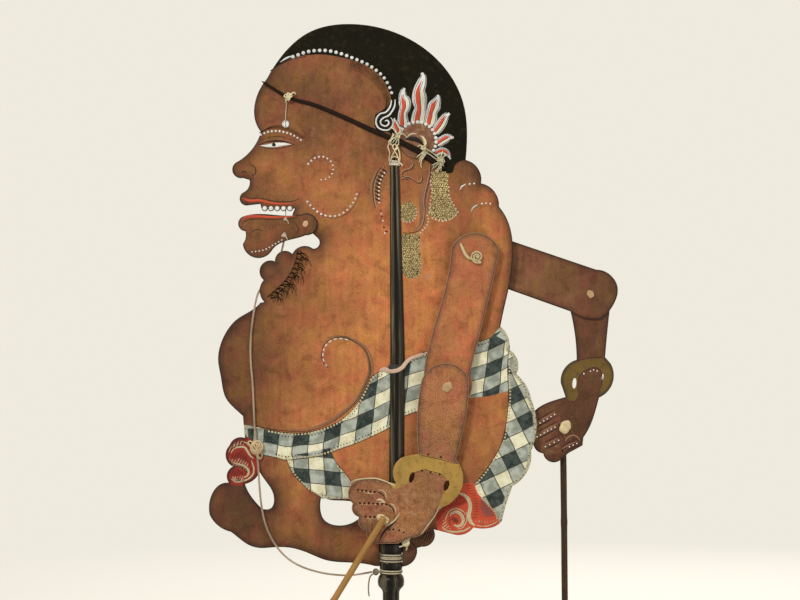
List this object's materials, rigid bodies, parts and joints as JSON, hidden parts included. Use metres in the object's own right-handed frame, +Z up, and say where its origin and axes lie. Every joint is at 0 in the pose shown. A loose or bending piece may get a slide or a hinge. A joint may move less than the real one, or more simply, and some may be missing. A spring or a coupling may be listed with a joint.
{
  "type": "leather shadow puppet",
  "caption": "Flat painted rawhide rod puppet of a stout clown servant: split central rod, jointed arms on hand rods, and a cord-worked jaw closed by a spring lever.",
  "frame": {"origin": "middle of the handle's cylindrical grip, on the grip's axis", "axes": "+Z up along the grip towards the head, the figure faces -X, and the viewer stands at -Y, in front of the painted face that carries the jaw lever"},
  "size_m": [0.3092, 0.0316, 0.5852],
  "materials": {
    "figure_hide": "painted rawhide, satin, darker towards its edges",
    "arm_hide": "painted rawhide, satin",
    "black_wood": "black lacquer, polished by handling",
    "dark_bamboo": "dark stained bamboo, satin",
    "pale_bamboo": "bare bamboo, satin",
    "thong": "raw hide thong, matt",
    "washer_leather": "undyed leather, matt",
    "thread": "waxed cotton thread",
    "cord": "twisted cotton cord, matt"
  },
  "bodies": {
    "figure": {"body_hide": "figure_hide", "jaw_pivot_thong": "thong", "jaw_string": "cord", "pull_cord": "cord", "cord_guide_knot": "cord", "cord_end_knot": "cord", "spring_stock": "dark_bamboo", "spring_lash_front": "thread", "spring_lash_middle": "thread", "spring_lash_rear": "thread", "main_rod": "black_wood", "rod_top_binding": "thread", "rod_top_net": "thread", "waist_stitch": "thread", "handle_binding_upper": "thread", "handle_binding_lower": "thread", "shoulder_thong": "thong", "near_shoulder_spacers": "washer_leather", "far_shoulder_spacers": "washer_leather"},
    "jaw": {"lower_jaw": "figure_hide", "jaw_string_knot": "cord", "jaw_cord_knot": "cord"},
    "spring": {"spring_arm": "dark_bamboo", "spring_knot": "cord"},
    "near_arm": {"near_upper_arm": "arm_hide"},
    "near_hand": {"near_forearm": "arm_hide", "near_elbow_thong": "thong"},
    "near_tie": {"near_rod_tie": "thong"},
    "near_rod": {"near_hand_rod": "pale_bamboo"},
    "far_arm": {"far_upper_arm": "arm_hide"},
    "far_hand": {"far_forearm": "arm_hide", "far_elbow_thong": "thong"},
    "far_tie": {"far_rod_tie": "thong"},
    "far_rod": {"far_hand_rod": "dark_bamboo"}
  },
  "joints": [
    {"name": "jaw_open", "type": "hinge", "parent": "figure", "child": "jaw", "pos_m": [-0.064, 0, 0.327], "axis": [0, 1, 0], "range_deg": [-22, 9], "deforming": ["jaw_string", "pull_cord"]},
    {"name": "spring_flex", "type": "hinge", "parent": "figure", "child": "spring", "pos_m": [-0.0005, 0, 0.3915], "axis": [0, 1, 0], "range_deg": [-4.6, 2]},
    {"name": "near_shoulder", "type": "hinge", "parent": "figure", "child": "near_arm", "pos_m": [0.0645, 0, 0.303], "axis": [0, 1, 0], "range_deg": [-40, 115]},
    {"name": "near_elbow", "type": "hinge", "parent": "near_arm", "child": "near_hand", "pos_m": [0.042, 0, 0.205], "axis": [0, 1, 0], "range_deg": [-8, 120]},
    {"name": "near_rod_swing", "type": "hinge", "parent": "near_hand", "child": "near_tie", "pos_m": [-0.006, 0, 0.1065], "axis": [0, 1, 0], "range_deg": [-75, 75]},
    {"name": "near_rod_tilt", "type": "hinge", "parent": "near_tie", "child": "near_rod", "pos_m": [-0.006, -0.0132, 0.1065], "axis": [-0.8536, 0, 0.521], "range_deg": [0, 55]},
    {"name": "far_shoulder", "type": "hinge", "parent": "figure", "child": "far_arm", "pos_m": [0.0645, 0, 0.303], "axis": [0, 1, 0], "range_deg": [-30, 125]},
    {"name": "far_elbow", "type": "hinge", "parent": "far_arm", "child": "far_hand", "pos_m": [0.15, 0, 0.2745], "axis": [0, 1, 0], "range_deg": [-75, 45]},
    {"name": "far_rod_swing", "type": "hinge", "parent": "far_hand", "child": "far_tie", "pos_m": [0.12975, 0, 0.174], "axis": [0, 1, 0], "range_deg": [-75, 75]},
    {"name": "far_rod_tilt", "type": "hinge", "parent": "far_tie", "child": "far_rod", "pos_m": [0.12975, 0.0132, 0.174], "axis": [0.9999, 0, 0.0122], "range_deg": [0, 55]}
  ],
  "couplings": [
    {"joint": "spring_flex", "follows": "jaw_open", "ratio": 0.196}
  ]
}
